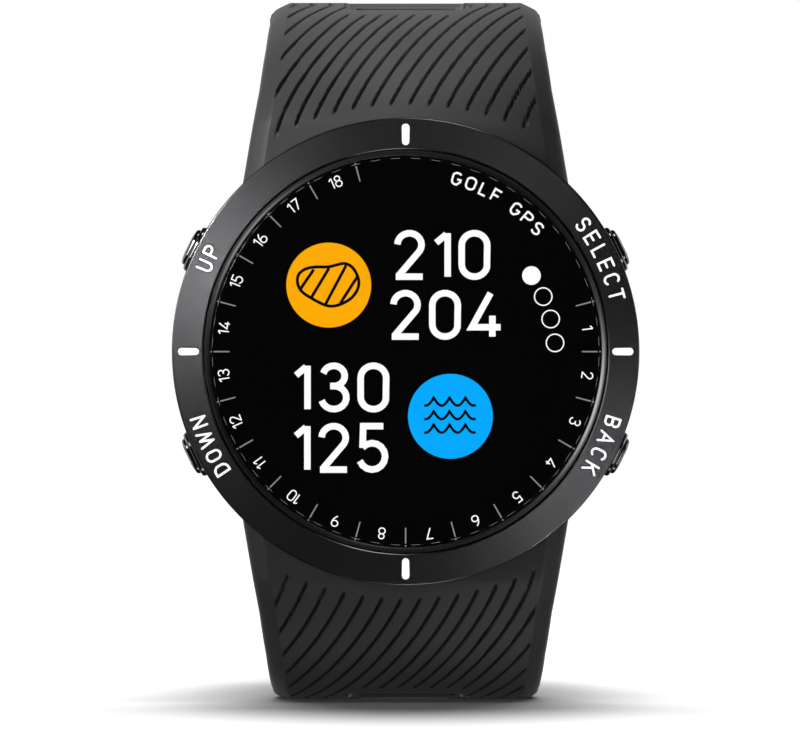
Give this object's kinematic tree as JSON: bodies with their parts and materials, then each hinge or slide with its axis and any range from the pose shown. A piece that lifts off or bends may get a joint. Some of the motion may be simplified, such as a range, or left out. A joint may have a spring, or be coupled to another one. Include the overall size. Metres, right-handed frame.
{
  "type": "golf gps watch",
  "caption": "Round golf GPS watch with a metal bezel, side push buttons and a silicone strap with buckle and keepers, unbuckled and standing on its strap.",
  "frame": {"origin": "centre of the footprint's bounding box, on the surface the strap rests on", "axes": "-Y is the way the dial faces, +Z is towards 12 o'clock, +X is towards 3 o'clock"},
  "size_m": [0.046, 0.082, 0.0698],
  "materials": {
    "blasted_metal": "fine bead-blasted, dark anodised",
    "polished_metal": "polished, black plated",
    "steel": "bright stainless steel",
    "gold_plate": "gold plated",
    "silicone": "soft-touch moulded silicone",
    "seal_rubber": "moulded seal",
    "black_plastic": "moulded, fine texture",
    "white_enamel": "white enamel",
    "dark_glass": "polished, hard coated",
    "display_black": "smooth black display surface",
    "diffuser_white": "white diffuser",
    "board_green": "solder mask",
    "ceramic_tan": "unglazed ceramic with a silvered face",
    "cell_foil": "foil pouch"
  },
  "bodies": {
    "case": {"bezel": "blasted_metal", "case_back": "blasted_metal", "glass_ring": "black_plastic", "lens": "dark_glass", "lens_gasket": "seal_rubber", "hole_number_ring": "display_black", "display_panel": "display_black", "display_backlight": "diffuser_white", "display_tray": "black_plastic", "mid_case": "black_plastic", "main_board": "board_green", "gps_antenna": "ceramic_tan", "battery": "cell_foil", "vibration_motor": "steel", "case_back_gasket": "seal_rubber", "spring_bar_upper": "steel", "spring_bar_lower": "steel", "bezel_marker_12": "white_enamel", "bezel_marker_3": "white_enamel", "bezel_marker_6": "white_enamel", "bezel_marker_9": "white_enamel", "switch_up": "steel", "switch_select": "steel", "switch_back": "steel", "switch_down": "steel", "case_screw_1": "steel", "charge_contact_1": "gold_plate", "case_screw_2": "steel", "charge_contact_2": "gold_plate", "case_screw_3": "steel", "charge_contact_3": "gold_plate", "case_screw_4": "steel", "charge_contact_4": "gold_plate"},
    "upper_strap": {"strap_upper": "silicone", "buckle_bar": "steel", "fixed_keeper": "silicone"},
    "lower_strap": {"strap_lower": "silicone"},
    "buckle": {"buckle_frame": "polished_metal"},
    "tang": {"buckle_tang": "polished_metal"},
    "loose_keeper": {"free_keeper": "silicone"},
    "up_button": {"button_up": "polished_metal", "button_seal_up": "seal_rubber", "button_clip_up": "steel"},
    "select_button": {"button_select": "polished_metal", "button_seal_select": "seal_rubber", "button_clip_select": "steel"},
    "back_button": {"button_back": "polished_metal", "button_seal_back": "seal_rubber", "button_clip_back": "steel"},
    "down_button": {"button_down": "polished_metal", "button_seal_down": "seal_rubber", "button_clip_down": "steel"}
  },
  "joints": [
    {"name": "upper_strap_hinge", "type": "hinge", "parent": "case", "child": "upper_strap", "pos_m": [0, -0.0358, 0.0575], "axis": [1, 0, 0], "range_deg": [-3, 35]},
    {"name": "lower_strap_hinge", "type": "hinge", "parent": "case", "child": "lower_strap", "pos_m": [0, -0.0358, 0.0117], "axis": [-1, 0, 0], "range_deg": [-3, 35]},
    {"name": "buckle_hinge", "type": "hinge", "parent": "upper_strap", "child": "buckle", "pos_m": [0, 0.02539, 0.05144], "axis": [1, 0, 0], "range_deg": [-45, 60]},
    {"name": "tang_hinge", "type": "hinge", "parent": "buckle", "child": "tang", "pos_m": [0, 0.02539, 0.05144], "axis": [1, 0, 0], "range_deg": [0, 45]},
    {"name": "keeper_slide", "type": "slide", "parent": "upper_strap", "child": "loose_keeper", "axis": [0, 0.9703, -0.2419], "range_m": [-0.006, 0.007]},
    {"name": "up_press", "type": "slide", "parent": "case", "child": "up_button", "axis": [0.8988, 0, -0.4384], "range_m": [0, 0.0005], "stiffness_N_per_m": 1500, "springref_m": -0.0003},
    {"name": "select_press", "type": "slide", "parent": "case", "child": "select_button", "axis": [-0.8988, 0, -0.4384], "range_m": [0, 0.0005], "stiffness_N_per_m": 1500, "springref_m": -0.0003},
    {"name": "back_press", "type": "slide", "parent": "case", "child": "back_button", "axis": [-0.8988, 0, 0.4384], "range_m": [0, 0.0005], "stiffness_N_per_m": 1500, "springref_m": -0.0003},
    {"name": "down_press", "type": "slide", "parent": "case", "child": "down_button", "axis": [0.8988, 0, 0.4384], "range_m": [0, 0.0005], "stiffness_N_per_m": 1500, "springref_m": -0.0003}
  ]
}
